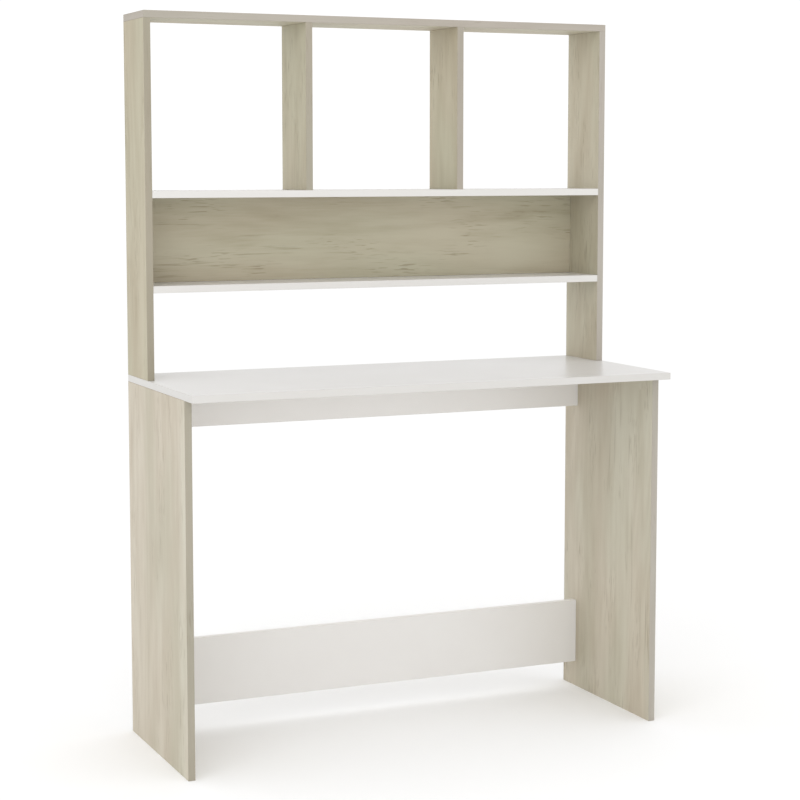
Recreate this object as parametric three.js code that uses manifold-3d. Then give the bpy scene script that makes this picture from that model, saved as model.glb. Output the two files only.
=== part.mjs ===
// Writing desk with a fixed open hutch, in knock-down melamine-faced chipboard.
//
// Frame: millimetres, +X to the right, +Y to the rear, +Z up, the floor at Z = 0, with the
// origin under the middle of the whole piece of furniture. Every board is one sheet thickness.
// Boards are drilled for the fittings that pull them together: eccentric cam discs with their
// bolts, fluted wooden dowels and countersunk connecting screws.

import * as THREE from 'three';
import { mergeVertices } from 'three/addons/utils/BufferGeometryUtils.js';
import Module from 'manifold-3d';

const wasm = await Module();
wasm.setup();

// ---------------------------------------------------------------- driving dimensions
const sheet = 15; // thickness of every board

const deskWidth = 1100;
const deskDepth = 450;
const deskSideHeight = 780;
const deskSideDepth = 400; // the desktop reaches past the sides at the front only

const railInset = 45; // rear of the desk to the rear face of the apron and modesty panel
const apronHeight = 100;
const modestyHeight = 150;
const modestyFloorGap = 60;

const hutchDepth = 148;
const lowerBayHeight = 185; // desktop to the underside of the lower shelf
const middleBayHeight = 185; // lower shelf to the underside of the upper shelf
const upperBayHeight = 360; // upper shelf to the underside of the hutch top
const upperBayCount = 3;

// Fittings
const play = 0.3; // clearance kept between a fitting and its hole
const camDiscRadius = 7.4;
const camDiscHeight = 12.2;
const camReach = 24; // face of the bolted board to the middle of the cam disc
const camSlotHalf = 3.2;
const camCrossLength = 9;
const camCrossWidth = 1.6;
const camCrossDepth = 2;
const boltThreadRadius = 2.5;
const boltThreadLength = 10;
const boltCollarRadius = 3.6;
const boltShankRadius = 2.6;
const boltNeckRadius = 1.6;
const boltHeadRadius = 2.5;
const dowelRadius = 4;
const dowelFaceDepth = 10; // part of the dowel in the face of one board
const dowelEdgeDepth = 20; // part of the dowel in the edge of the other
const screwLength = 50;
const screwHeadRadius = 4.8;
const screwShankRadius = 3.3;
const screwThreadRadius = 2.4;
const screwSocketRadius = 2.2;
const screwSocketDepth = 3;
const overcut = 1; // how far a cutter runs out past the surface that it enters

// Facets round each kind of turned shape
const discSides = 16;
const boreSides = 10;

// ---------------------------------------------------------------- derived dimensions
const halfWidth = deskWidth / 2;
const innerHalf = halfWidth - sheet;
const rear = deskDepth / 2;
const front = -rear;
const deskSideFront = rear - deskSideDepth;
const deskHeight = deskSideHeight + sheet;
const railRear = rear - railInset;
const railFront = railRear - sheet;
const hutchFront = rear - hutchDepth;
const lowerShelf = deskHeight + lowerBayHeight; // underside of the lower shelf
const upperShelf = lowerShelf + sheet + middleBayHeight; // underside of the upper shelf
const upperFloor = upperShelf + sheet;
const hutchTop = upperFloor + upperBayHeight; // underside of the hutch top
const overallHeight = hutchTop + sheet;
const bayWidth = (2 * innerHalf - (upperBayCount - 1) * sheet) / upperBayCount;
const dividerX = bayWidth / 2 + sheet / 2;
const sideX = halfWidth - sheet / 2; // middle of a side board's thickness
const hutchMiddle = (hutchFront + rear) / 2;
const hutchFrontLine = hutchFront + 30; // front row of fittings in the hutch
const hutchRearLine = rear - 38; // rear row of fittings in the hutch

// ---------------------------------------------------------------- finishes
const oak = new THREE.MeshStandardMaterial({ color: 0xbdb59a, roughness: 0.6, metalness: 0 });
const white = new THREE.MeshStandardMaterial({ color: 0xe6e2df, roughness: 0.35, metalness: 0 });
const beech = new THREE.MeshStandardMaterial({ color: 0xd9b98a, roughness: 0.7, metalness: 0 });
const zinc = new THREE.MeshStandardMaterial({ color: 0x9c9d9f, roughness: 0.4, metalness: 1 });
const steel = new THREE.MeshStandardMaterial({ color: 0xc4c5c8, roughness: 0.3, metalness: 1 });

// ---------------------------------------------------------------- solids and booleans
/** Turns a closed three.js geometry into a solid, with its shared corners merged. */
function toSolid(geometry) {
  const bare = geometry.clone();
  bare.deleteAttribute('normal');
  bare.deleteAttribute('uv');
  const merged = mergeVertices(bare);
  const corners = merged.index.array;
  const kept = [];
  for (let i = 0; i < corners.length; i += 3) {
    const [a, b, c] = corners.slice(i, i + 3);
    if (a !== b && b !== c && c !== a) {
      kept.push(a, b, c);
    }
  }
  return new wasm.Manifold(new wasm.Mesh({
    numProp: 3,
    vertProperties: new Float32Array(merged.attributes.position.array),
    triVerts: new Uint32Array(kept),
  }));
}

/** Turns a solid back into a geometry that a mesh can carry. */
function toGeometry(solid) {
  const mesh = solid.getMesh();
  const geometry = new THREE.BufferGeometry();
  geometry.setAttribute('position', new THREE.BufferAttribute(mesh.vertProperties, 3));
  geometry.setIndex(new THREE.BufferAttribute(mesh.triVerts, 1));
  geometry.computeVertexNormals();
  return geometry;
}

/** Cuts a list of tool geometries out of a blank geometry. */
function cut(blank, tools) {
  let solid = toSolid(blank);
  for (const tool of tools) {
    solid = solid.subtract(toSolid(tool));
  }
  return toGeometry(solid);
}

/** A turned shape on the X axis, from pairs of distance along X and radius. */
function turned(profile, sides) {
  const points = profile.map(([along, radius]) => new THREE.Vector2(radius, along));
  return new THREE.LatheGeometry(points, sides).rotateZ(-Math.PI / 2);
}

/** A plain round bar on the X axis between two distances. */
function bar(radius, start, end, sides = boreSides) {
  return turned([[start, 0], [start, radius], [end, radius], [end, 0]], sides);
}

/** A short round bar standing on Z, centred on the cam disc's axis. */
function camBar(radius, low, high) {
  return new THREE.CylinderGeometry(radius, radius, high - low, discSides)
    .rotateX(Math.PI / 2)
    .translate(camReach, 0, (low + high) / 2);
}

// ---------------------------------------------------------------- fittings, each in the frame of its joint
// A joint's frame: origin on the plane where the two boards meet, +X into the board that is
// entered through its edge, +Z out of the face that a cam disc is pressed into.

/** Cast cam disc: a short drum with a cross drive and a slot that takes the bolt's head. */
function camDiscGeometry() {
  const top = sheet / 2;
  const cross = [
    new THREE.BoxGeometry(camCrossLength, camCrossWidth, 2 * camCrossDepth),
    new THREE.BoxGeometry(camCrossWidth, camCrossLength, 2 * camCrossDepth),
  ];
  cross.forEach((arm) => arm.translate(camReach, 0, top));
  const slotLength = camDiscRadius + 3.6;
  const slot = new THREE.BoxGeometry(slotLength, 2 * camSlotHalf, 2 * camSlotHalf)
    .translate(camReach - camDiscRadius - overcut + slotLength / 2, 0, 0);
  return cut(camBar(camDiscRadius, top - camDiscHeight, top), [...cross, slot]);
}

/** Steel cam bolt: thread, collar against the board, shank, neck and the head that is pulled. */
function camBoltGeometry() {
  return cut(turned([
    [-boltThreadLength, 0],
    [-boltThreadLength, boltThreadRadius - 1],
    [-boltThreadLength + 2, boltThreadRadius],
    [play, boltThreadRadius],
    [play, boltCollarRadius],
    [1.8, boltCollarRadius],
    [1.8, boltShankRadius],
    [camReach - 5, boltShankRadius],
    [camReach - 4, boltNeckRadius],
    [camReach - 1, boltNeckRadius],
    [camReach, boltHeadRadius],
    [camReach + 1.6, boltHeadRadius],
    [camReach + 1.6, 0],
  ], boreSides), []);
}

/** Beech dowel with chamfered ends. */
function dowelGeometry() {
  return cut(turned([
    [-dowelFaceDepth, 0],
    [-dowelFaceDepth, dowelRadius - 1],
    [-dowelFaceDepth + 1, dowelRadius],
    [dowelEdgeDepth - 1, dowelRadius],
    [dowelEdgeDepth, dowelRadius - 1],
    [dowelEdgeDepth, 0],
  ], boreSides), []);
}

/** Countersunk connecting screw with a hexagon socket, its head just under the board's face. */
function screwGeometry() {
  const headTop = play - sheet;
  const socket = bar(screwSocketRadius, headTop - overcut, headTop + screwSocketDepth, 6);
  return cut(turned([
    [headTop, 0],
    [headTop, screwHeadRadius],
    [headTop + 1, screwHeadRadius],
    [headTop + 3, screwShankRadius],
    [-1, screwShankRadius],
    [1, screwThreadRadius],
    [headTop + screwLength - 4, screwThreadRadius],
    [headTop + screwLength, 0.8],
    [headTop + screwLength, 0],
  ], boreSides), [socket]);
}

const camDisc = camDiscGeometry();
const camBolt = camBoltGeometry();
const dowel = dowelGeometry();
const screw = screwGeometry();

// ---------------------------------------------------------------- boards
/** A rectangular board between two corners, with the cutters that drill it. */
class Board {
  constructor(name, finish, low, high) {
    this.name = name;
    this.finish = finish;
    this.low = new THREE.Vector3(...low);
    this.high = new THREE.Vector3(...high);
    this.cutters = [];
  }

  /** Adds a cutter, given in a joint's frame and placed by the joint's matrix. */
  drill(cutter, placement) {
    this.cutters.push(cutter.clone().applyMatrix4(placement));
  }

  /** The drilled board as a named mesh, placed at the board's middle. */
  mesh() {
    const size = this.high.clone().sub(this.low);
    const middle = this.low.clone().add(this.high).divideScalar(2);
    const tools = this.cutters.map((c) => c.clone().translate(-middle.x, -middle.y, -middle.z));
    const mesh = new THREE.Mesh(cut(new THREE.BoxGeometry(size.x, size.y, size.z), tools), this.finish);
    mesh.name = this.name;
    mesh.position.copy(middle);
    return mesh;
  }
}

const desktop = new Board(
  'desktop', white, [-halfWidth, front, deskSideHeight], [halfWidth, rear, deskHeight],
);
const apron = new Board(
  'apron_rail', white,
  [-innerHalf, railFront, deskSideHeight - apronHeight], [innerHalf, railRear, deskSideHeight],
);
const modesty = new Board(
  'modesty_panel', white,
  [-innerHalf, railFront, modestyFloorGap], [innerHalf, railRear, modestyFloorGap + modestyHeight],
);
const shelfLower = new Board(
  'shelf_lower', white, [-innerHalf, hutchFront, lowerShelf], [innerHalf, rear, lowerShelf + sheet],
);
const shelfUpper = new Board(
  'shelf_upper', white, [-innerHalf, hutchFront, upperShelf], [innerHalf, rear, upperFloor],
);
const backPanel = new Board(
  'hutch_back_panel', oak,
  [-innerHalf, rear - sheet, lowerShelf + sheet], [innerHalf, rear, upperShelf],
);
const topBoard = new Board(
  'hutch_top', oak, [-halfWidth, hutchFront, hutchTop], [halfWidth, rear, overallHeight],
);

/** A side board of the desk or of the hutch; side is -1 on the left and 1 on the right. */
function sideBoard(name, side, frontY, bottom, top) {
  const outer = side * halfWidth;
  const inner = side * innerHalf;
  const low = [Math.min(outer, inner), frontY, bottom];
  const high = [Math.max(outer, inner), rear, top];
  return new Board(name, oak, low, high);
}

/** A divider between two upper bays. */
function dividerBoard(name, side) {
  const x = side * dividerX;
  const low = [x - sheet / 2, hutchFront, upperFloor];
  const high = [x + sheet / 2, rear, hutchTop];
  return new Board(name, oak, low, high);
}

const hands = [
  { label: 'left', side: -1 },
  { label: 'right', side: 1 },
].map(({ label, side }) => ({
  label,
  side,
  deskSide: sideBoard(`desk_side_${label}`, side, deskSideFront, 0, deskSideHeight),
  hutchSide: sideBoard(`hutch_side_${label}`, side, hutchFront, deskHeight, hutchTop),
  divider: dividerBoard(`divider_${label}`, side),
}));

// ---------------------------------------------------------------- joints
const desk = new THREE.Group();
const hutch = new THREE.Group();
const up = new THREE.Vector3(0, 0, 1);
const down = new THREE.Vector3(0, 0, -1);
const rearward = new THREE.Vector3(0, 1, 0);

/** The matrix of a joint's frame, from its origin, its +X and its +Z. */
function jointFrame(seat, along, facing) {
  const across = new THREE.Vector3().crossVectors(facing, along);
  return new THREE.Matrix4().makeBasis(along, across, facing).setPosition(...seat);
}

/** Puts a named copy of a fitting into a group at a joint. */
function fit(group, name, geometry, finish, placement) {
  const mesh = new THREE.Mesh(geometry, finish);
  mesh.name = name;
  mesh.applyMatrix4(placement);
  group.add(mesh);
}

/** A cam disc in one board's face and its bolt in the other board. */
function camJoint(group, name, bolted, pulled, seat, along, facing) {
  const placement = jointFrame(seat, along, facing);
  const face = sheet / 2;
  const pocket = camBar(camDiscRadius + play, face - camDiscHeight - play, face + overcut);
  bolted.drill(bar(boltThreadRadius + play, -boltThreadLength - play, overcut), placement);
  pulled.drill(bar(boltCollarRadius + play, -overcut, camReach), placement);
  pulled.drill(pocket, placement);
  fit(group, `cam_disc_${name}`, camDisc, zinc, placement);
  fit(group, `cam_bolt_${name}`, camBolt, steel, placement);
}

/** A dowel from the face of one board into the edge of another. */
function dowelJoint(group, name, faceBoard, edgeBoard, seat, along, facing) {
  const placement = jointFrame(seat, along, facing);
  const radius = dowelRadius + play;
  faceBoard.drill(bar(radius, -dowelFaceDepth - play, overcut), placement);
  edgeBoard.drill(bar(radius, -overcut, dowelEdgeDepth + play), placement);
  fit(group, `dowel_${name}`, dowel, beech, placement);
}

/** A screw driven through one board into the edge of another. */
function screwJoint(group, name, plate, edgeBoard, seat, along, facing) {
  const placement = jointFrame(seat, along, facing);
  const headTop = play - sheet;
  const through = turned([
    [-sheet - overcut, 0],
    [-sheet - overcut, screwHeadRadius + play],
    [headTop + 1 + play, screwHeadRadius + play],
    [headTop + 3 + play, screwShankRadius + play],
    [overcut, screwShankRadius + play],
    [overcut, 0],
  ], boreSides);
  const pilotEnd = headTop + screwLength + play;
  plate.drill(through, placement);
  edgeBoard.drill(bar(screwShankRadius + play, -overcut, 1 + play), placement);
  edgeBoard.drill(bar(screwThreadRadius + play, 0, pilotEnd), placement);
  fit(group, `screw_${name}`, screw, steel, placement);
}

for (const { label, side, deskSide, hutchSide, divider } of hands) {
  const inward = new THREE.Vector3(-side, 0, 0);
  const innerX = side * innerHalf;
  const railY = railRear - sheet / 2;

  // Desktop on the desk sides
  camJoint(desk, `desktop_${label}_front`, desktop, deskSide,
    [side * sideX, deskSideFront + 50, deskSideHeight], down, inward);
  camJoint(desk, `desktop_${label}_rear`, desktop, deskSide,
    [side * sideX, hutchFront - 27, deskSideHeight], down, inward);

  // Apron and modesty panel between the desk sides, with their cam discs on the rear faces
  camJoint(desk, `apron_${label}`, deskSide, apron,
    [innerX, railY, deskSideHeight - 25], inward, rearward);
  dowelJoint(desk, `apron_${label}`, deskSide, apron,
    [innerX, railY, deskSideHeight - apronHeight + 25], inward, rearward);
  camJoint(desk, `modesty_${label}`, deskSide, modesty,
    [innerX, railY, modestyFloorGap + modestyHeight - 50], inward, rearward);
  dowelJoint(desk, `modesty_${label}`, deskSide, modesty,
    [innerX, railY, modestyFloorGap + 50], inward, rearward);

  // Hutch sides screwed down from under the desktop, before it goes onto the desk sides
  for (const [row, y] of [['front', hutchFrontLine], ['rear', hutchRearLine]]) {
    screwJoint(hutch, `hutch_foot_${label}_${row}`, desktop, hutchSide,
      [side * sideX, y, deskHeight], up, rearward);
    screwJoint(hutch, `hutch_top_${label}_${row}`, topBoard, hutchSide,
      [side * sideX, y, hutchTop], down, rearward);
  }

  // Shelves between the hutch sides, with their cam discs on the undersides
  for (const [shelf, name, z] of [
    [shelfLower, 'shelf_lower', lowerShelf + sheet / 2],
    [shelfUpper, 'shelf_upper', upperShelf + sheet / 2],
  ]) {
    camJoint(hutch, `${name}_${label}`, hutchSide, shelf,
      [innerX, hutchFrontLine, z], inward, down);
    dowelJoint(hutch, `${name}_${label}`, hutchSide, shelf,
      [innerX, hutchRearLine, z], inward, down);
  }

  // Dividers between the upper shelf and the hutch top, and the closed back of the middle bay
  screwJoint(hutch, `divider_top_${label}`, topBoard, divider,
    [side * dividerX, hutchMiddle, hutchTop], down, rearward);
  screwJoint(hutch, `divider_foot_${label}`, shelfUpper, divider,
    [side * dividerX, hutchMiddle, upperFloor], up, rearward);
  screwJoint(hutch, `back_panel_${label}`, shelfLower, backPanel,
    [side * innerHalf / 2, rear - sheet / 2, lowerShelf + sheet], up, rearward);
}

// ---------------------------------------------------------------- the object
for (const board of [desktop, apron, modesty]) {
  desk.add(board.mesh());
}
for (const board of [shelfLower, shelfUpper, backPanel, topBoard]) {
  hutch.add(board.mesh());
}
for (const { deskSide, hutchSide, divider } of hands) {
  desk.add(deskSide.mesh());
  hutch.add(hutchSide.mesh(), divider.mesh());
}

const group = new THREE.Group();
group.add(desk, hutch);

export default group;
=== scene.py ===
"""Writing desk with a fixed open hutch, in oak and white melamine-faced chipboard.

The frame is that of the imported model: +X to the right, +Y to the wall behind the desk, +Z up,
the floor at Z = 0. Lengths are in metres, and in millimetres in turned profiles and where a
comment says so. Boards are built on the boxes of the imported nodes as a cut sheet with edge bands
glued to it, and drilled for the fittings that hold it.
"""

import logging
import math
from dataclasses import dataclass, field
from enum import Enum

import bmesh
import bpy
from mathutils import Matrix, Vector


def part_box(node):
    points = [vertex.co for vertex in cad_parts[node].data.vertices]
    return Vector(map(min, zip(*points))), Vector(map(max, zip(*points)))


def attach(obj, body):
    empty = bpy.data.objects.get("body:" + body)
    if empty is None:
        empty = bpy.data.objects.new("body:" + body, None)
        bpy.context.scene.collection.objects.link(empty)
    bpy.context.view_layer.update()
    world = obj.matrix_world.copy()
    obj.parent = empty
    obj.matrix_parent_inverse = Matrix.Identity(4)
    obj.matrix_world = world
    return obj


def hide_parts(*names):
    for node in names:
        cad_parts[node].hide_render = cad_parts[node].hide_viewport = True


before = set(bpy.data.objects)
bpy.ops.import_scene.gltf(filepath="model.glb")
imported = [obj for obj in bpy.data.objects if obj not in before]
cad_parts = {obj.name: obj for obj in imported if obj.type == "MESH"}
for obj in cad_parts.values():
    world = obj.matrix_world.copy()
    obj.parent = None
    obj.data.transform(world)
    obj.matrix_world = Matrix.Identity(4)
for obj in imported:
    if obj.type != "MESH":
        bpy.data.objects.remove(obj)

log = logging.getLogger("desk")
logging.basicConfig(level=logging.INFO, format="%(name)s: %(message)s")

ROOT_BODY = "root"
MM = 0.001
DECOR = "decor"  # the attribute that says where on its printed sheet a point of a board lies
TONE_AND_SHADE = "depth"  # the attribute that says how far a board's colour is darkened, 0 for pale and 1 for deep: partly the board's own tone and partly painted shade, set board by board to how brightly each is lit
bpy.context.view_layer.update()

Rgb = tuple[float, float, float]


def paint(red: int, green: int, blue: int) -> Rgb:
    """Turns a colour on the 0 to 255 display scale into linear light.

    Args:
        red: The red part.
        green: The green part.
        blue: The blue part.

    Returns:
        The three parts in linear light, from 0 to 1.
    """
    shares = (part / 255 for part in (red, green, blue))
    return tuple(s / 12.92 if s <= 0.04045 else ((s + 0.055) / 1.055) ** 2.4 for s in shares)


# ---------------------------------------------------------------- shader and geometry graphs


class Graph:
    """Adds nodes to one node tree, the same way for shaders and for geometry."""

    def __init__(self, tree: bpy.types.NodeTree) -> None:
        """Holds the tree and empties it.

        Args:
            tree: The node tree to fill.
        """
        self.tree = tree
        tree.nodes.clear()

    def add(
        self,
        kind: str,
        settings: dict | None = None,
        inputs: dict | None = None,
        output: int | str = 0,
    ) -> "Signal":
        """Adds one node.

        Args:
            kind: The node's type name.
            settings: Properties set before any socket, such as a Math node's operation.
            inputs: Socket index or name to a plain value or to a Signal.
            output: The output that the result stands for.

        Returns:
            The chosen output as a Signal.
        """
        node = self.tree.nodes.new(kind)
        for key, value in (settings or {}).items():
            setattr(node, key, value)
        for key, value in (inputs or {}).items():
            self.join(value, node.inputs[key])
        return Signal(self, node.outputs[output] if len(node.outputs) else None, node)

    def join(self, value: object, socket: bpy.types.NodeSocket) -> None:
        """Links a Signal to a socket, or sets a plain value on it.

        Args:
            value: The Signal, or a number, a colour or another plain value.
            socket: The input to feed.
        """
        if isinstance(value, Signal):
            self.tree.links.new(value.socket, socket)
        elif socket.type == "RGBA" and len(value) == 3:
            socket.default_value = (*value, 1.0)
        else:
            socket.default_value = value


@dataclass(frozen=True)
class Signal:
    """One output of a node. Arithmetic on it adds Math nodes to its graph."""

    graph: Graph
    socket: bpy.types.NodeSocket | None
    node: bpy.types.Node

    def _math(self, operation: str, left: object, right: object) -> "Signal":
        """Adds a Math node on two operands."""
        kind = "ShaderNodeMath"
        return self.graph.add(kind, {"operation": operation}, {0: left, 1: right})

    def __add__(self, other: object) -> "Signal":
        """This plus the other."""
        return self._math("ADD", self, other)

    def __radd__(self, other: float) -> "Signal":
        """A number plus this."""
        return self._math("ADD", other, self)

    def __sub__(self, other: object) -> "Signal":
        """This less the other."""
        return self._math("SUBTRACT", self, other)

    def __rsub__(self, other: float) -> "Signal":
        """A number less this."""
        return self._math("SUBTRACT", other, self)

    def __mul__(self, other: object) -> "Signal":
        """This times the other."""
        return self._math("MULTIPLY", self, other)

    def __rmul__(self, other: float) -> "Signal":
        """A number times this."""
        return self._math("MULTIPLY", other, self)

    def sine(self) -> "Signal":
        """The sine of this, in radians."""
        return self.graph.add("ShaderNodeMath", {"operation": "SINE"}, {0: self})

    def step(self, low: float, high: float) -> "Signal":
        """A smooth step from 0 at low to 1 at high."""
        settings = {"interpolation_type": "SMOOTHSTEP"}
        return self.graph.add("ShaderNodeMapRange", settings, {0: self, 1: low, 2: high})


class Surface(Graph):
    """A shader graph of one material, with the nodes that the finishes share."""

    def __init__(self, name: str) -> None:
        """Makes the material.

        Args:
            name: The material's name.
        """
        self.material = bpy.data.materials.new(name)
        self.material.use_nodes = True
        super().__init__(self.material.node_tree)

    def split(self, vector: Signal) -> tuple[Signal, Signal, Signal]:
        """The three parts of a vector."""
        x = self.add("ShaderNodeSeparateXYZ", None, {0: vector})
        return x, Signal(self, x.node.outputs[1], x.node), Signal(self, x.node.outputs[2], x.node)

    def vector(self, x: object, y: object, z: object) -> Signal:
        """A vector from three parts."""
        return self.add("ShaderNodeCombineXYZ", None, {0: x, 1: y, 2: z})

    def noise(self, vector: Signal, detail: float = 2.0, roughness: float = 0.5) -> Signal:
        """Soft noise of unit scale at a place, about 0.5 on average."""
        inputs = {"Vector": vector, "Scale": 1.0, "Detail": detail, "Roughness": roughness}
        return self.add("ShaderNodeTexNoise", None, inputs)

    def blend(self, amount: object, first: object, second: object) -> Signal:
        """A mix of two colours by an amount."""
        settings = {"data_type": "RGBA"}
        return self.add("ShaderNodeMix", settings, {0: amount, 6: first, 7: second}, 2)

    def tint(self, colour: Signal, filter_colour: object) -> Signal:
        """A colour seen through another."""
        settings = {"data_type": "RGBA", "blend_type": "MULTIPLY"}
        return self.add("ShaderNodeMix", settings, {0: 1.0, 6: colour, 7: filter_colour}, 2)

    def darken_by_tone_and_shade(self, colour: Signal, darkest_tone_and_shade: Rgb) -> Signal:
        """A colour darkened by the board's set amount, partly its own tone and partly painted
        shade.
        """
        depth = self.add("ShaderNodeAttribute", {"attribute_name": TONE_AND_SHADE}, None, "Fac")
        return self.tint(colour, self.blend(depth, (1.0, 1.0, 1.0), darkest_tone_and_shade))

    def scaled(self, place: Signal, scale: float) -> Signal:
        """A place made larger, so that noise on it is finer."""
        settings = {"operation": "SCALE"}
        return self.add("ShaderNodeVectorMath", settings, {0: place, "Scale": scale})

    def bump(self, height: Signal, distance: float, strength: float = 1.0) -> Signal:
        """A normal that follows a height given in shares of a distance."""
        inputs = {"Strength": strength, "Distance": distance, "Height": height}
        return self.add("ShaderNodeBump", None, inputs)

    def finish(self, **sockets: object) -> bpy.types.Material:
        """Ends the graph in one principled shader.

        Args:
            **sockets: Socket names, with underscores for spaces, and their values.

        Returns:
            The finished material.
        """
        inputs = {key.replace("_", " "): value for key, value in sockets.items()}
        shader = self.add("ShaderNodeBsdfPrincipled", None, inputs)
        self.add("ShaderNodeOutputMaterial", None, {0: shader})
        return self.material


# ---------------------------------------------------------------- finishes


@dataclass(frozen=True)
class Layer:
    """One layer of the oak's figure: how fast it changes in a metre each way on the sheet."""

    across: float
    along: float
    sheet: float
    detail: float = 1.0
    roughness: float = 0.5
    weight: float = 0.0  # how much of the tone it makes
    cut: tuple[float, float] = (0.0, 1.0)  # where its noise starts to mark and marks in full

    def noise(self, s: Surface, place: tuple[Signal, Signal, Signal]) -> Signal:
        """The layer's noise at a place.

        Args:
            s: The surface whose graph it joins.
            place: Where that is across, along and through the sheets.

        Returns:
            The noise, about 0.5 on average.
        """
        across, along, sheet = place
        vector = s.vector(across * self.across, along * self.along, sheet * self.sheet)
        return s.noise(vector, self.detail, self.roughness)

    def swing(self, noise: Signal) -> Signal:
        """The layer's share of the tone, to either side of none."""
        return (noise - 0.5) * self.weight

    def mask(self, s: Surface, place: tuple[Signal, Signal, Signal]) -> Signal:
        """The layer's noise cut into marks: 0 between them and 1 on them."""
        return self.noise(s, place).step(*self.cut)


DRIFT = Layer(2.5, 0.9, 1)  # the slow wander of the grain
PLANK = Layer(9, 0.6, 5, weight=1.2)  # pale and dark strips
CLOUD = Layer(16, 4, 7, 2.0, weight=0.9)  # soft patches
FLAME = Layer(7, 0.8, 3, 1.5, 0.45)  # the field that the growth rings follow
STREAK = Layer(50, 5, 9, 3.0, 0.6, weight=0.85)
FIBRE = Layer(520, 14, 40, 3.0, 0.7, weight=0.45)
VESSEL = Layer(420, 24, 31, cut=(0.58, 0.68))
CROWD = Layer(20, 4.5, 17, cut=(0.50, 0.66))  # where the vessels stand close
CRACK = Layer(150, 5, 13, 2.0, 0.6, cut=(0.61, 0.68))
RARE = Layer(11, 3.5, 21, cut=(0.55, 0.66))  # where the cracks come
HUE = Layer(7, 2, 23, cut=(0.35, 0.65))  # where the print turns from cool to warm


@dataclass(frozen=True)
class OakPrint:
    """Pale limed oak, printed on paper under a matt melamine face."""

    name: str
    light: Rgb
    middle: Rgb
    dark: Rgb
    vessel: Rgb
    figure: float = 1.0  # how strong the grain is
    cool: Rgb = (0.985, 0.997, 0.98)  # the tint of the greyer patches
    warm: Rgb = (1.013, 0.984, 0.976)  # the tint of the browner patches
    darkest_tone_and_shade: Rgb = (0.60, 0.58, 0.38)  # what is left of the colour on a board darkened in full, by its own tone and by painted shade
    wander: float = 0.06  # metres from the grain's furthest drift to the left to that to the right
    ring_turns: float = 80.0  # radians of ring for the whole range of the flames
    ring_weight: float = 0.14
    deep_cut: tuple[float, float] = (0.58, 0.80)  # the noise where dark streaks start and fill
    deep_share: float = 0.4  # how much of the dark colour the deepest streaks take
    fray_cut: tuple[float, float] = (0.36, 0.56)  # the fibre noise where a crack breaks and fills
    vessel_share: float = 0.5  # how much of the vessel colour the vessels take
    crack_share: float = 0.42  # how much of it the cracks take
    roughness: float = 0.56
    press: float = 0.06 * MM  # how deep the pores are pressed

    def material(self) -> bpy.types.Material:
        """Builds the print: its tone, then its dark marks, its tint and its pressed relief.

        Returns:
            The print's material.
        """
        s = Surface(self.name)
        place = s.add("ShaderNodeAttribute", {"attribute_name": DECOR}, None, "Vector")
        across, along, sheet = s.split(place)
        drift = DRIFT.noise(s, (across, along, sheet)) - 0.5
        spot = (across + drift * self.wander, along, sheet)
        plank, cloud, streak = (layer.noise(s, spot) for layer in (PLANK, CLOUD, STREAK))
        fibre = FIBRE.noise(s, spot)
        rings = (FLAME.noise(s, spot) * self.ring_turns).sine() * 0.5 + 0.5
        vessels = VESSEL.mask(s, spot) * CROWD.mask(s, spot)
        frayed = fibre.step(*self.fray_cut) * 0.7 + 0.3
        cracks = CRACK.mask(s, spot) * RARE.mask(s, spot) * frayed

        tone = PLANK.swing(plank) + CLOUD.swing(cloud) + STREAK.swing(streak)
        tone = tone + (rings - 0.5) * self.ring_weight + FIBRE.swing(fibre)
        colour = s.blend((tone * self.figure + 0.5).step(0.0, 1.0), self.light, self.middle)
        deep = (streak * 0.5 + cloud * 0.5).step(*self.deep_cut)
        colour = s.blend(deep * (self.deep_share * self.figure), colour, self.dark)
        colour = s.blend(vessels * (self.vessel_share * self.figure), colour, self.vessel)
        colour = s.blend(cracks * (self.crack_share * self.figure), colour, self.vessel)
        colour = s.tint(colour, s.blend(HUE.mask(s, spot), self.cool, self.warm))
        # the board's set darkening: partly its own tone, partly painted shade
        colour = s.darken_by_tone_and_shade(colour, self.darkest_tone_and_shade)

        relief = fibre * 0.5 + (1 - vessels) * 0.3 + (1 - cracks) * 0.2
        return s.finish(
            Base_Color=colour,
            Roughness=self.roughness + (fibre - 0.5) * 0.12,
            Normal=s.bump(relief, self.press, 0.5),
            Specular_IOR_Level=0.35,
        )


@dataclass(frozen=True)
class WhiteFace:
    """White melamine with a fine pearl texture and a soft sheen."""

    name: str
    colour: Rgb
    shade: Rgb
    roughness: float = 0.30
    darkest_tone_and_shade: Rgb = (0.6, 0.6, 0.6)  # what is left of the colour on a board darkened in full, by its own tone and by painted shade
    clouds: float = 7.0  # in a metre
    cloud_share: float = 0.5  # how much of the shade the clouds bring
    pearls: float = 900.0  # in a metre
    pearl_share: float = 0.2  # how much of the shade the pearls bring
    press: float = 0.01 * MM  # how deep the pearl texture is pressed

    def material(self) -> bpy.types.Material:
        """Builds the face from a faint cloudiness and its pressed pearl texture.

        Returns:
            The face's material.
        """
        s = Surface(self.name)
        place = s.add("ShaderNodeAttribute", {"attribute_name": DECOR}, None, "Vector")
        cloud = s.noise(s.scaled(place, self.clouds), 3.0, 0.55)
        pearl = s.noise(s.scaled(place, self.pearls), 2.0, 0.6)
        shading = cloud.step(0.25, 0.75) * self.cloud_share + (pearl - 0.5) * self.pearl_share
        # the board's set darkening: partly its own tone, partly painted shade
        colour = s.darken_by_tone_and_shade(s.blend(shading, self.colour, self.shade), self.darkest_tone_and_shade)
        return s.finish(
            Base_Color=colour,
            Roughness=self.roughness + (cloud - 0.5) * 0.05 + (pearl - 0.5) * 0.04,
            Normal=s.bump(pearl, self.press, 0.5),
            Specular_IOR_Level=0.5,
        )


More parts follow.
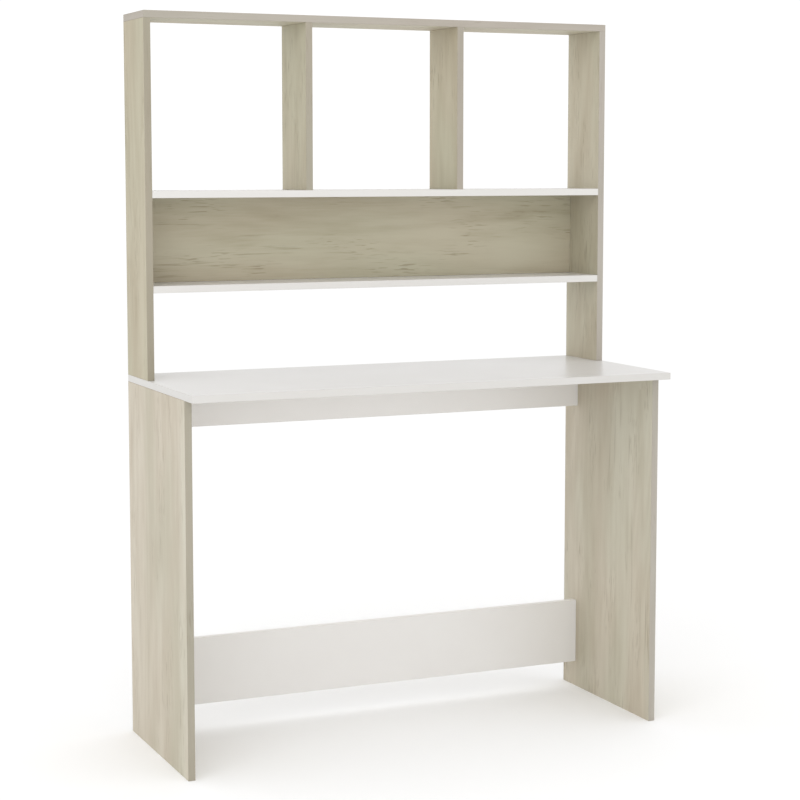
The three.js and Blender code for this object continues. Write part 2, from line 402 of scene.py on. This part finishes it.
@dataclass(frozen=True)
class ChipCore:
    """The pressed chips inside a board, seen in its drilled holes and bare edges."""

    name: str
    pale: Rgb
    brown: Rgb
    chips: float = 620.0  # in a metre
    dust: float = 1800.0  # in a metre

    def material(self) -> bpy.types.Material:
        """Builds the core from flat chips of several browns.

        Returns:
            The core's material.
        """
        s = Surface(self.name)
        place = s.add("ShaderNodeTexCoord", None, None, "Object")
        inputs = {"Vector": place, "Scale": self.chips}
        shade, _, _ = s.split(s.add("ShaderNodeTexVoronoi", None, inputs, "Color"))
        grit = s.noise(s.scaled(place, self.dust), 3.0, 0.7)
        return s.finish(
            Base_Color=s.blend(shade * 0.75 + grit * 0.25, self.pale, self.brown),
            Roughness=0.9,
            Normal=s.bump(shade + grit, 0.15 * MM, 0.8),
        )


@dataclass(frozen=True)
class Metal:
    """Small metal fittings: die-cast or plated."""

    name: str
    colour: Rgb
    dull: Rgb
    roughness: float
    spots: float = 420.0  # in a metre
    grains: float = 2600.0  # in a metre

    def material(self) -> bpy.types.Material:
        """Builds the metal with a mottled skin and a fine grain.

        Returns:
            The metal's material.
        """
        s = Surface(self.name)
        place = s.add("ShaderNodeTexCoord", None, None, "Object")
        mottle = s.noise(s.scaled(place, self.spots), 3.0, 0.6)
        grain = s.noise(s.scaled(place, self.grains), 2.0, 0.6)
        return s.finish(
            Base_Color=s.blend(mottle.step(0.35, 0.75), self.colour, self.dull),
            Metallic=1.0,
            Roughness=self.roughness + (mottle - 0.5) * 0.2,
            Normal=s.bump(grain, 0.03 * MM, 0.6),
        )


@dataclass(frozen=True)
class Beech:
    """Plain beech of the dowels, with its short dark rays."""

    name: str
    pale: Rgb
    ray: Rgb
    fibres: tuple[float, float] = (120.0, 900.0)  # in a metre, along the X axis and across it
    flecks: tuple[float, float] = (500.0, 2500.0)  # the same of the rays

    def material(self) -> bpy.types.Material:
        """Builds the beech from even fibres and flecks.

        Returns:
            The beech's material.
        """
        s = Surface(self.name)
        place = s.add("ShaderNodeTexCoord", None, None, "Object")
        x, y, z = s.split(place)
        long, wide = self.fibres
        fibre = s.noise(s.vector(x * long, y * wide, z * wide), 2.0, 0.6)
        long, wide = self.flecks
        fleck = s.noise(s.vector(x * long, y * wide, z * wide), 1.0).step(0.6, 0.7)
        colour = s.blend(fibre.step(0.3, 0.7) * 0.5 + fleck * 0.5, self.pale, self.ray)
        return s.finish(Base_Color=colour, Roughness=0.7, Normal=s.bump(fibre, 0.05 * MM, 0.6))


@dataclass(frozen=True)
class StudioFloor:
    """The pale seamless floor that the desk stands on."""

    name: str
    colour: Rgb

    def material(self) -> bpy.types.Material:
        """Builds an even matt floor."""
        s = Surface(self.name)
        return s.finish(Base_Color=self.colour, Roughness=0.9, Specular_IOR_Level=0.0)


class Finish(Enum):
    """Every finish on the desk, one shared material each."""

    OAK = OakPrint(
        "oak_melamine", paint(205, 200, 186), paint(188, 180, 163), paint(164, 153, 132),
        paint(142, 129, 107),
    )
    OAK_EDGE = OakPrint(
        "oak_edge_band", paint(180, 175, 165), paint(166, 160, 148), paint(148, 139, 124),
        paint(132, 122, 106), 0.6, (0.99, 0.99, 1.0), (1.01, 0.985, 1.0),
    )
    WHITE = WhiteFace("white_melamine", paint(237, 235, 232), paint(234, 231, 228))
    WHITE_EDGE = WhiteFace("white_edge_band", paint(234, 232, 228), paint(231, 228, 223), 0.36)
    CORE = ChipCore("chipboard_core", paint(205, 180, 140), paint(134, 104, 70))
    ZINC = Metal("die_cast_zinc", paint(168, 168, 170), paint(132, 133, 136), 0.42)
    STEEL = Metal("plated_steel", paint(206, 206, 208), paint(176, 177, 182), 0.28)
    BEECH = Beech("beech_dowel", paint(214, 184, 140), paint(176, 138, 96))
    FLOOR = StudioFloor("studio_floor", (0.97, 0.97, 0.97))

    def material(self) -> bpy.types.Material:
        """The finish's material, built the first time that it is asked for."""
        made = bpy.data.materials.get(self.value.name)
        return made or self.value.material()


# ---------------------------------------------------------------- mesh making


def plain_box(low: Vector, high: Vector) -> bmesh.types.BMesh:
    """A sharp box.

    Args:
        low: Its lowest corner.
        high: Its highest corner.

    Returns:
        The box as an open bmesh, for the caller to write and free.
    """
    bm = bmesh.new()
    bmesh.ops.create_cube(bm, size=1.0)
    size, middle = high - low, (low + high) / 2
    for vertex in bm.verts:
        vertex.co = middle + Vector(c * s for c, s in zip(vertex.co, size))
    return bm


def soft_box(low: Vector, high: Vector, arris: float, rounds: int) -> bmesh.types.BMesh:
    """A box with softened edges.

    Args:
        low: Its lowest corner.
        high: Its highest corner.
        arris: How far each edge is broken.
        rounds: How many facets each broken edge has.

    Returns:
        The box as an open bmesh, for the caller to write and free.
    """
    bm = plain_box(low, high)
    bmesh.ops.bevel(
        bm, geom=list(bm.edges), offset=arris, segments=rounds, profile=0.5, affect="EDGES"
    )
    return bm


def write_mesh(bm: bmesh.types.BMesh, name: str) -> bpy.types.Mesh:
    """Writes a bmesh to a new mesh with its faces pointing out, and frees it.

    Args:
        bm: The bmesh to write.
        name: The mesh's name.

    Returns:
        The new mesh.
    """
    bmesh.ops.recalc_face_normals(bm, faces=bm.faces)
    mesh = bpy.data.meshes.new(name)
    bm.to_mesh(mesh)
    bm.free()
    return mesh


def place_object(name: str, mesh: bpy.types.Mesh) -> bpy.types.Object:
    """Puts a mesh into the scene as an object at the origin.

    Args:
        name: The object's name.
        mesh: Its mesh.

    Returns:
        The new object.
    """
    piece = bpy.data.objects.new(name, mesh)
    bpy.context.scene.collection.objects.link(piece)
    return piece


def discard(piece: bpy.types.Object) -> None:
    """Takes a working object out of the file, with its mesh.

    Args:
        piece: The object to take out.
    """
    mesh = piece.data
    bpy.data.objects.remove(piece)
    bpy.data.meshes.remove(mesh)


def settled(piece: bpy.types.Object, name: str) -> bpy.types.Mesh:
    """Turns what an object's modifiers make into a plain mesh, and clears them.

    Args:
        piece: The object with its modifiers.
        name: The new mesh's name.

    Returns:
        The plain mesh.
    """
    graph = bpy.context.evaluated_depsgraph_get()
    graph.update()
    mesh = bpy.data.meshes.new_from_object(piece.evaluated_get(graph), depsgraph=graph)
    mesh.name = name
    piece.modifiers.clear()
    return mesh


def weld(mesh: bpy.types.Mesh) -> None:
    """Merges the doubled points that a cut leaves on a face with several holes.

    Args:
        mesh: The cut mesh, which is changed in place.
    """
    bm = bmesh.new()
    bm.from_mesh(mesh)
    bmesh.ops.triangulate(bm, faces=[face for face in bm.faces if len(face.verts) > 4])
    bmesh.ops.remove_doubles(bm, verts=bm.verts, dist=0.001 * MM)
    bm.to_mesh(mesh)
    bm.free()


def less(mesh: bpy.types.Mesh, tools: list[bpy.types.Mesh], name: str) -> bpy.types.Mesh:
    """Cuts tool meshes out of a mesh.

    Args:
        mesh: The closed mesh to cut.
        tools: Closed meshes. Each bolt's hole opens into the pocket of its cam disc.
        name: The name of the result.

    Returns:
        The cut mesh, whose cut faces carry the tools' materials.
    """
    if not tools:
        return mesh
    bm = bmesh.new()
    for tool in tools:
        bm.from_mesh(tool)
    joined = write_mesh(bm, "tools")
    joined.materials.append(Finish.CORE.material())
    blank = place_object("blank", mesh)
    cutter = place_object("cutter", joined)
    cut = blank.modifiers.new("cut", "BOOLEAN")
    cut.operation = "DIFFERENCE"
    cut.solver = "EXACT"
    cut.use_self = True
    cut.object = cutter
    cut.material_mode = "TRANSFER"
    result = settled(blank, name)
    discard(blank)
    discard(cutter)
    weld(result)
    return result


@dataclass(frozen=True)
class Turned:
    """A shape turned on its own X axis, from pairs of distance and radius in millimetres."""

    profile: tuple[tuple[float, float], ...]
    sides: int = 28

    def mesh(self, name: str) -> bpy.types.Mesh:
        """Spins the profile round X.

        Args:
            name: The mesh's name.

        Returns:
            A closed mesh.
        """
        bm = bmesh.new()
        rings = []
        for along, radius in self.profile:
            ring = []
            for turn in range(self.sides):
                angle = 2 * math.pi * turn / self.sides
                spot = Vector((along, radius * math.cos(angle), radius * math.sin(angle)))
                ring.append(bm.verts.new(spot * MM))
            rings.append(ring)
        for first, second in zip(rings, rings[1:]):
            for turn in range(self.sides):
                after = (turn + 1) % self.sides
                bm.faces.new((first[turn], first[after], second[after], second[turn]))
        bm.faces.new(rings[0])
        bm.faces.new(rings[-1])
        return write_mesh(bm, name)


# ---------------------------------------------------------------- fittings

INWARD = {"left": Vector((1, 0, 0)), "right": Vector((-1, 0, 0))}
UP = Vector((0, 0, 1))
DOWN = Vector((0, 0, -1))
REARWARD = Vector((0, 1, 0))


def joint_axes(node: str) -> tuple[Vector, Vector]:
    """Reads the two directions of a joint from the name of one of its fittings.

    Args:
        node: The fitting's node.

    Returns:
        The way into the board that is entered through its edge, and the way out of the face
        that a cam disc is pressed into.
    """
    inward = INWARD["left" if "_left" in node else "right"]
    if node.startswith("screw"):
        return (DOWN if "_top_" in node else UP), REARWARD
    if "_desktop_" in node:
        return DOWN, inward
    return inward, (DOWN if "_shelf_" in node else REARWARD)


@dataclass
class FittingFamily:
    """One kind of fitting: its nodes, its shape and the hole that it needs."""

    prefix: str
    piece: str
    slot: str
    finish: Finish
    body: Turned
    hole: Turned
    lead: float = 0.0  # millimetres from the first end to the plane where the boards meet
    nodes: list[str] = field(default_factory=list)

    def __post_init__(self) -> None:
        """Collects the family's nodes."""
        self.nodes = sorted(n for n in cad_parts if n.startswith(self.prefix))

    def seat(self, node: str) -> Matrix:
        """The joint's frame: origin where the boards meet, +X along, +Z facing.

        Args:
            node: The fitting's node.

        Returns:
            The matrix that takes the joint's frame to the model's.
        """
        along, facing = joint_axes(node)
        low, high = (Vector(corner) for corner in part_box(node))
        middle = (low + high) / 2
        reach = (high - low).dot(Vector(abs(c) for c in along)) / 2
        origin = middle - along * (reach - self.lead * MM)
        axes = Matrix((along, facing.cross(along), facing)).transposed()
        return Matrix.Translation(origin) @ axes.to_4x4()

    def holes(self) -> list[bpy.types.Mesh]:
        """The cutters for every node of the family, in their places.

        Returns:
            One closed mesh for each node.
        """
        cutters = []
        for node in self.nodes:
            cutter = self.hole.mesh(f"hole_{node}")
            cutter.transform(self.seat(node))
            cutters.append(cutter)
        return cutters

    def master(self) -> bpy.types.Mesh:
        """One fitting in its joint's frame."""
        return self.body.mesh(self.piece)


class CamDiscs(FittingFamily):
    """Cam discs, whose axis lies across the joint and not along it."""

    ARM_LENGTH = 9.0 * MM
    ARM_WIDTH = 1.5 * MM
    ARM_DEPTH = 2.0 * MM
    ARM_ARRIS = 0.15 * MM

    def seat(self, node: str) -> Matrix:
        """The frame on the disc's own face: +X out of the board, +Z the way that the bolt runs.

        Args:
            node: The disc's node.

        Returns:
            The matrix that takes the disc's frame to the model's.
        """
        along, facing = joint_axes(node)
        low, high = (Vector(corner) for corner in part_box(node))
        middle = (low + high) / 2
        depth = (high - low).dot(Vector(abs(c) for c in facing)) / 2
        origin = middle + facing * depth
        axes = Matrix((facing, along.cross(facing), along)).transposed()
        return Matrix.Translation(origin) @ axes.to_4x4()

    def master(self) -> bpy.types.Mesh:
        """One disc with its cross drive cut in.

        Returns:
            The disc's mesh, in the frame on its face.
        """
        disc = self.body.mesh("disc")
        long, short = self.ARM_LENGTH / 2, self.ARM_WIDTH / 2
        for y, z in ((short, long), (long, short)):
            half = Vector((self.ARM_DEPTH, y, z))
            arm = write_mesh(soft_box(-half, half, self.ARM_ARRIS, 1), "arm")
            disc = less(disc, [arm], self.piece)
        return disc


class Screws(FittingFamily):
    """Connecting screws, each with a hexagon socket in its head."""

    SOCKET = ((-1.0, 2.2), (2.4, 2.2), (3.0, 1.2))  # millimetres from the head, and radius

    def master(self) -> bpy.types.Mesh:
        """One screw with its socket cut in.

        Returns:
            The screw's mesh, in its joint's frame.
        """
        start = self.body.profile[0][0]
        socket = Turned(tuple((start + depth, radius) for depth, radius in self.SOCKET), 6)
        return less(self.body.mesh("screw"), [socket.mesh("socket")], self.piece)


class PlacingTree:
    """The geometry tree that puts a copy of a fitting on every point of a row."""

    NAME = "place_fittings"

    def __init__(self) -> None:
        """Builds the tree with its named inputs."""
        tree = bpy.data.node_groups.new(self.NAME, "GeometryNodeTree")
        graph = Graph(tree)
        self.tree = tree
        self.inputs = {}
        tree.interface.new_socket("Geometry", in_out="OUTPUT", socket_type="NodeSocketGeometry")
        for name, kind in (
            ("Geometry", "NodeSocketGeometry"),
            ("Fitting", "NodeSocketObject"),
            ("Size", "NodeSocketFloat"),
            ("Finish", "NodeSocketMaterial"),
        ):
            socket = tree.interface.new_socket(name, in_out="INPUT", socket_type=kind)
            self.inputs[name] = socket.identifier
        given = graph.add("NodeGroupInput")
        sockets = {o.name: Signal(graph, o, given.node) for o in given.node.outputs if o.name}
        turn = graph.add(
            "GeometryNodeInputNamedAttribute", {"data_type": "QUATERNION"}, {"Name": "turn"}
        )
        master = graph.add(
            "GeometryNodeObjectInfo", None, {"Object": sockets["Fitting"]}, "Geometry"
        )
        copies = graph.add(
            "GeometryNodeInstanceOnPoints",
            None,
            {
                "Points": sockets["Geometry"],
                "Instance": master,
                "Rotation": turn,
                "Scale": sockets["Size"],
            },
        )
        solid = graph.add("GeometryNodeRealizeInstances", None, {"Geometry": copies})
        dressed = graph.add(
            "GeometryNodeSetMaterial", None, {"Geometry": solid, "Material": sockets["Finish"]}
        )
        graph.add("NodeGroupOutput", None, {0: dressed})

    def row(
        self, name: str, master: bpy.types.Mesh, seats: list[Matrix], finish: Finish
    ) -> bpy.types.Object:
        """Places a fitting at each seat.

        Args:
            name: The finished piece's name.
            master: The fitting's mesh in its own frame.
            seats: Where each copy goes.
            finish: What the copies are finished in.

        Returns:
            One object whose plain mesh holds all the copies.
        """
        points = bpy.data.meshes.new("points")
        points.from_pydata([seat.translation for seat in seats], [], [])
        turns = points.attributes.new("turn", "QUATERNION", "POINT")
        for entry, seat in zip(turns.data, seats):
            entry.value = seat.to_quaternion()
        row = place_object("row", points)
        fitting = place_object("fitting", master)
        modifier = row.modifiers.new("place", "NODES")
        modifier.node_group = self.tree
        modifier[self.inputs["Fitting"]] = fitting
        modifier[self.inputs["Size"]] = 1.0
        modifier[self.inputs["Finish"]] = finish.material()
        mesh = settled(row, name)
        mesh.materials.clear()
        mesh.materials.append(finish.material())
        mesh.polygons.foreach_set("material_index", [0] * len(mesh.polygons))
        discard(row)
        discard(fitting)
        return place_object(name, mesh)


@dataclass
class Hardware:
    """All the fittings of the desk."""

    families: list[FittingFamily] = field(default_factory=list)

    def __post_init__(self) -> None:
        """Describes each family, in millimetres along the joint's axis."""
        self.families = [
            CamDiscs(
                "cam_disc", "cam_discs", "zinc_cam", Finish.ZINC,
                Turned((
                    (-12.2, 6.9), (-11.7, 7.4), (-0.5, 7.4), (-0.15, 7.25), (0.0, 6.9),
                    (0.0, 5.9), (-0.35, 5.6), (-0.35, 5.2),
                ), 40),
                Turned(((-12.5, 7.7), (1.0, 7.7)), 40),
            ),
            FittingFamily(
                "cam_bolt", "cam_bolts", "plated_steel", Finish.STEEL,
                Turned((
                    (-10, 1.5), (-8, 2.5), (0.3, 2.5), (0.3, 3.6), (1.8, 3.6), (1.8, 2.6),
                    (19, 2.6), (20, 1.6), (23, 1.6), (24, 2.5), (25.6, 2.5),
                )),
                Turned(((-10.3, 2.8), (0.0, 2.8), (0.0, 3.9), (18.0, 3.9))),
                10.0,
            ),
            FittingFamily(
                "dowel", "dowels", "beech", Finish.BEECH,
                Turned(((-10, 3), (-9, 4), (19, 4), (20, 3))),
                Turned(((-10.3, 4.3), (20.3, 4.3))),
                10.0,
            ),
            Screws(
                "screw", "connecting_screws", "plated_steel", Finish.STEEL,
                Turned((
                    (-14.7, 4.6), (-14.5, 4.8), (-13.7, 4.8), (-11.7, 3.3), (-1, 3.3), (1, 2.4),
                    (31.3, 2.4), (35.3, 0.8),
                )),
                Turned((
                    (-16, 5.1), (-13.4, 5.1), (-11.4, 3.6), (1.3, 3.6), (1.3, 2.7), (35.6, 2.7),
                )),
                14.7,
            ),
        ]

    def holes(self) -> list[bpy.types.Mesh]:
        """Every cutter of every family."""
        return [hole for family in self.families for hole in family.holes()]

    def build(self) -> None:
        """Places every family as one piece that stands for its nodes."""
        placing = PlacingTree()
        for family in self.families:
            seats = [family.seat(node) for node in family.nodes]
            piece = placing.row(family.piece, family.master(), seats, family.finish)
            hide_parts(*family.nodes)
            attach(piece, ROOT_BODY)
            faces = len(piece.data.polygons)
            log.info("%s: %d fittings, %d faces", family.piece, len(seats), faces)
        CoverCaps(self.families[0]).build(placing)


@dataclass
class CoverCaps:
    """Thin printed caps stuck over the cam discs that can be seen from the chair."""

    over: CamDiscs
    nodes_start: str = "cam_disc_desktop"
    shape: Turned = Turned(((0.02, 8.4), (0.3, 8.4), (0.38, 8.2), (0.4, 7.8)), 48)
    offcut: tuple[float, float, float] = (1.28, 1.88, 3.1)  # where on the sheet they were cut
    depth: float = 0.06  # how far their colour is darkened, from 0 to 1: partly their own tone, partly painted shade

    def build(self, placing: PlacingTree) -> None:
        """Places a cap over each disc.

        Args:
            placing: The tree that places fittings.
        """
        seats = [self.over.seat(n) for n in self.over.nodes if n.startswith(self.nodes_start)]
        piece = placing.row("cover_caps", self.shape.mesh("cap"), seats, Finish.OAK)
        mark_print(piece.data, X_AXIS, Z_AXIS, self.offcut, self.depth)
        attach(piece, ROOT_BODY)
        log.info("cover_caps: %d", len(seats))


# ---------------------------------------------------------------- boards

X_AXIS, Z_AXIS = 0, 2


class Edge(Enum):
    """An edge of a board, by the way that it faces."""

    LEFT = Vector((-1, 0, 0))
    RIGHT = Vector((1, 0, 0))
    FRONT = Vector((0, -1, 0))
    REAR = Vector((0, 1, 0))
    BOTTOM = Vector((0, 0, -1))
    TOP = Vector((0, 0, 1))

    def axis(self) -> int:
        """The axis that the edge faces along, as 0, 1 or 2."""
        return max(range(3), key=lambda i: abs(self.value[i]))

    def outward(self) -> bool:
        """True where the edge faces up its axis."""
        return self.value[self.axis()] > 0


LONG_EDGES = (Edge.FRONT, Edge.REAR)
ALL_ROUND = (Edge.FRONT, Edge.REAR, Edge.LEFT, Edge.RIGHT)


def mark_print(
    mesh: bpy.types.Mesh, thin: int, grain: int, offcut: tuple[float, float, float], depth: float
) -> None:
    """Writes where on its printed sheet each point lies: across, along and sheet.

    Args:
        mesh: The mesh to mark.
        thin: The axis of the board's thickness.
        grain: The axis that the print runs along.
        offcut: Where on the sheet the piece was cut.
        depth: How far the piece's colour is darkened, from 0 to 1, partly by its own tone and
            partly by painted shade.
    """
    across = ({0, 1, 2} - {grain, thin}).pop()
    marks = mesh.attributes.new(DECOR, "FLOAT_VECTOR", "POINT")
    for vertex, mark in zip(mesh.vertices, marks.data):
        spot = Vector((vertex.co[across], vertex.co[grain], vertex.co[thin]))
        mark.vector = spot + Vector(offcut)
    tone_and_shade_values = mesh.attributes.new(TONE_AND_SHADE, "FLOAT", "POINT")
    for entry in tone_and_shade_values.data:
        entry.value = depth


@dataclass
class Board:
    """A board: a sheet with printed faces, and bands glued to the edges that show."""

    node: str
    grain: int  # the axis that the print runs along
    face: Finish = Finish.OAK
    band: Finish = Finish.OAK_EDGE
    banded: tuple[Edge, ...] = LONG_EDGES
    offcut: tuple[float, float, float] = (0.0, 0.0, 0.0)  # where on the sheet it was cut
    depth: float = 0.0  # how far its colour is darkened, from 0 to 1: partly its own tone, partly painted shade
    band_tone_and_shade: float = 0.0  # the same of its edge bands
    band_thickness: float = 0.8 * MM
    band_round: float = 0.5 * MM
    sheet_arris: float = 0.15 * MM
    glue_line: float = 0.03 * MM
    joint_gap: float = 0.25 * MM  # how far a bare end stops short of the board that it meets

    def box(self) -> tuple[Vector, Vector]:
        """The board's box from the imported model."""
        low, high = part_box(self.node)
        return Vector(low), Vector(high)

    def thin_axis(self) -> int:
        """The axis of the board's thickness."""
        low, high = self.box()
        return min(range(3), key=lambda i: high[i] - low[i])

    def sheet(self, cutters: list[bpy.types.Mesh]) -> bpy.types.Mesh:
        """The drilled sheet without its bands. Where a side stands on the floor it is not cut back.

        Args:
            cutters: Every hole's cutter. Those that don't reach the board are left out.

        Returns:
            The sheet, with its faces and its cut sides in their own finishes.
        """
        low, high = self.box()
        thin = self.thin_axis()
        for edge in Edge:
            axis = edge.axis()
            back = self.band_thickness + self.glue_line if edge in self.banded else self.joint_gap
            if axis == thin or (edge is Edge.BOTTOM and low.z < self.joint_gap):
                continue
            if edge.outward():
                high[axis] -= back
            else:
                low[axis] += back
        mesh = write_mesh(soft_box(low, high, self.sheet_arris, 2), self.node)
        mesh.materials.append(self.face.material())
        mesh.materials.append(Finish.CORE.material())
        for polygon in mesh.polygons:
            polygon.material_index = 0 if abs(polygon.normal[thin]) > 0.5 else 1
        tools = [cutter for cutter in cutters if self._meets(cutter, low, high)]
        return less(mesh, tools, self.node)

    @staticmethod
    def _meets(cutter: bpy.types.Mesh, low: Vector, high: Vector) -> bool:
        """Tells whether a cutter's box reaches into the sheet.

        Args:
            cutter: The hole's cutter.
            low: The sheet's lowest corner.
            high: The sheet's highest corner.

        Returns:
            True where it does.
        """
        slack = 0.05 * MM
        for axis in range(3):
            reach = [vertex.co[axis] for vertex in cutter.vertices]
            if max(reach) < low[axis] + slack or min(reach) > high[axis] - slack:
                return False
        return True

    def bands(self) -> list[bpy.types.Mesh]:
        """The edge bands, the long ones covering the ends of the short ones.

        Returns:
            One mesh for each banded edge, in their order.
        """
        made = []
        low, high = self.box()
        for order, edge in enumerate(self.banded):
            start, end = low.copy(), high.copy()
            axis = edge.axis()
            if edge.outward():
                start[axis] = high[axis] - self.band_thickness
            else:
                end[axis] = low[axis] + self.band_thickness
            for earlier in self.banded[:order]:
                other = earlier.axis()
                if other == axis:
                    continue
                if earlier.outward():
                    end[other] -= self.band_thickness + self.glue_line
                else:
                    start[other] += self.band_thickness + self.glue_line
            made.append(self._band(start, end, edge))
        return made

    def _band(self, start: Vector, end: Vector, edge: Edge) -> bpy.types.Mesh:
        """One band, softened only along its outer edges.

        Args:
            start: Its lowest corner.
            end: Its highest corner.
            edge: The edge that it is glued to.

        Returns:
            The band's mesh.
        """
        axis = edge.axis()
        bm = plain_box(start, end)
        outer = end[axis] if edge.outward() else start[axis]
        corners = [e for e in bm.edges if all(abs(v.co[axis] - outer) < 1e-7 for v in e.verts)]
        bmesh.ops.bevel(
            bm, geom=corners, offset=self.band_round, segments=4, profile=0.5, affect="EDGES"
        )
        return write_mesh(bm, "band")

    def build(self, cutters: list[bpy.types.Mesh]) -> None:
        """Builds the board and puts it in place of its node.

        Args:
            cutters: Every hole's cutter.
        """
        sheet = self.sheet(cutters)
        thin = self.thin_axis()
        mark_print(sheet, thin, self.grain, self.offcut, self.depth)
        piece = place_object(f"{self.node}_board", sheet)
        strips = []
        for band, edge in zip(self.bands(), self.banded):
            run = ({0, 1, 2} - {edge.axis(), thin}).pop()
            mark_print(band, edge.axis(), run, self.offcut, self.band_tone_and_shade)
            band.materials.append(self.band.material())
            strips.append(place_object("strip", band))
        if strips:
            with bpy.context.temp_override(
                active_object=piece, selected_editable_objects=[piece, *strips]
            ):
                bpy.ops.object.join()
        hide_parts(self.node)
        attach(piece, ROOT_BODY)
        log.info("%s: %d faces, %d bands", piece.name, len(piece.data.polygons), len(self.banded))


@dataclass
class WhiteBoard(Board):
    """A board faced and banded in white."""

    face: Finish = Finish.WHITE
    band: Finish = Finish.WHITE_EDGE


@dataclass
class Desk:
    """The lower part: two sides, the desktop, the apron and the modesty panel."""

    boards: list[Board] = field(default_factory=list)

    def __post_init__(self) -> None:
        """Lists the boards with their grain, bands and place on the sheet."""
        # The depths darken each board by a set amount, partly its own tone and partly painted
        # shade; the apron, in shade under the desktop, is left undarkened as painted light.
        self.boards = [
            Board("desk_side_left", Z_AXIS, offcut=(0.31, 0.4, 0.7), depth=0.09, band_tone_and_shade=0.39),
            Board("desk_side_right", Z_AXIS, offcut=(1.27, 1.9, 3.1), depth=0.16, band_tone_and_shade=0.03),
            WhiteBoard("desktop", X_AXIS, banded=ALL_ROUND, depth=0.5, band_tone_and_shade=0.6),
            WhiteBoard("apron_rail", X_AXIS, banded=(Edge.BOTTOM,), offcut=(0.6, 0.2, 1.0)),
            WhiteBoard(
                "modesty_panel", X_AXIS, banded=(Edge.BOTTOM, Edge.TOP), offcut=(0.1, 0.9, 2.0),
                depth=0.2,
            ),
        ]


@dataclass
class Hutch:
    """The upper part: two sides, the top, two dividers, two shelves and the back panel."""

    boards: list[Board] = field(default_factory=list)

    def __post_init__(self) -> None:
        """Lists the boards with their grain, bands and place on the sheet."""
        # The depths darken each board by a set amount, partly its own tone and partly painted
        # shade; the back panel at the rear of the shelves is darkened as painted shade.
        self.boards = [
            Board("hutch_side_left", Z_AXIS, offcut=(2.2, 0.6, 5.3), depth=0.45, band_tone_and_shade=0.48),
            Board("hutch_side_right", Z_AXIS, offcut=(3.4, 1.1, 6.1), depth=0.31, band_tone_and_shade=0.03),
            Board(
                "hutch_top", X_AXIS, banded=ALL_ROUND, offcut=(4.1, 2.0, 7.7), depth=0.3,
                band_tone_and_shade=0.1,
            ),
            Board("divider_left", Z_AXIS, offcut=(5.2, 0.3, 8.5), depth=0.42, band_tone_and_shade=0.4),
            Board("divider_right", Z_AXIS, offcut=(6.3, 2.4, 9.2), depth=0.46, band_tone_and_shade=0.16),
            Board("hutch_back_panel", X_AXIS, banded=(), offcut=(8.03, 1.7, 15.1), depth=0.42),
            WhiteBoard("shelf_lower", X_AXIS, offcut=(0.4, 0.1, 3.0), depth=0.4, band_tone_and_shade=0.4),
            WhiteBoard("shelf_upper", X_AXIS, offcut=(0.9, 0.7, 4.0), depth=0.4, band_tone_and_shade=0.4),
        ]


# ---------------------------------------------------------------- studio


@dataclass(frozen=True)
class Lamp:
    """A square soft lamp aimed at the middle of the desk."""

    name: str
    place: tuple[float, float, float]
    width: float
    watts: float
    target: tuple[float, float, float] = (0.0, 0.0, 0.8)

    def build(self) -> None:
        """Hangs the lamp."""
        data = bpy.data.lights.new(self.name, "AREA")
        data.size = self.width
        data.energy = self.watts
        lamp = bpy.data.objects.new(self.name, data)
        lamp.location = self.place
        aim = Vector(self.target) - Vector(self.place)
        lamp.rotation_euler = aim.to_track_quat("-Z", "Y").to_euler()
        bpy.context.scene.collection.objects.link(lamp)


@dataclass
class Studio:
    """The floor, the light and the camera."""

    eye: tuple[float, float, float] = (-1.753, -3.944, 1.248)
    heading: float = 23.95  # degrees from +Y towards +X
    dip: float = 5.60  # degrees below level
    lens: float = 89.2  # millimetres
    sensor: float = 36.0  # millimetres
    rise: float = -0.05  # how far the lens is shifted, in widths of the sensor
    floor_reach: float = 40.0  # half the width of the floor
    sky: float = 1.05  # how bright the surround is
    lamps: tuple[Lamp, ...] = (
        Lamp("key", (-2.6, -2.4, 3.2), 2.6, 22.0),
        Lamp("fill", (-0.8, -4.4, 0.9), 3.0, 20.0),
    )

    def build(self) -> None:
        """Makes the floor, the light and the camera."""
        self._floor()
        self._light()
        self._camera()
        bpy.context.scene.view_settings.view_transform = "Standard"

    def _floor(self) -> None:
        """A wide flat floor under the desk."""
        reach = self.floor_reach
        mesh = bpy.data.meshes.new("floor")
        corners = [(-reach, -reach, 0), (reach, -reach, 0), (reach, reach, 0), (-reach, reach, 0)]
        mesh.from_pydata(corners, [], [(0, 1, 2, 3)])
        mesh.materials.append(Finish.FLOOR.material())
        place_object("floor", mesh)

    def _light(self) -> None:
        """An even white surround, a soft lamp from the upper left and a fill from the front."""
        world = bpy.data.worlds.new("surround")
        world.use_nodes = True
        bpy.context.scene.world = world
        graph = Graph(world.node_tree)
        glow = graph.add("ShaderNodeBackground", None, {0: (1.0, 1.0, 1.0), 1: self.sky})
        graph.add("ShaderNodeOutputWorld", None, {0: glow})
        for lamp in self.lamps:
            lamp.build()

    def _camera(self) -> None:
        """The camera, with its sight line a little below level."""
        data = bpy.data.cameras.new("camera")
        data.lens = self.lens
        data.sensor_width = self.sensor
        data.shift_y = self.rise
        camera = bpy.data.objects.new("camera", data)
        camera.location = self.eye
        turn, dip = math.radians(self.heading), math.radians(self.dip)
        level = math.cos(dip)
        aim = Vector((math.sin(turn) * level, math.cos(turn) * level, -math.sin(dip)))
        camera.rotation_euler = aim.to_track_quat("-Z", "Y").to_euler()
        bpy.context.scene.collection.objects.link(camera)
        bpy.context.scene.camera = camera


def main() -> None:
    """Builds the studio, the boards and the fittings."""
    Studio().build()
    hardware = Hardware()
    cutters = hardware.holes()
    for part in (Desk(), Hutch()):
        for board in part.boards:
            board.build(cutters)
    for cutter in cutters:
        bpy.data.meshes.remove(cutter)
    hardware.build()


if __name__ == "__main__":
    main()
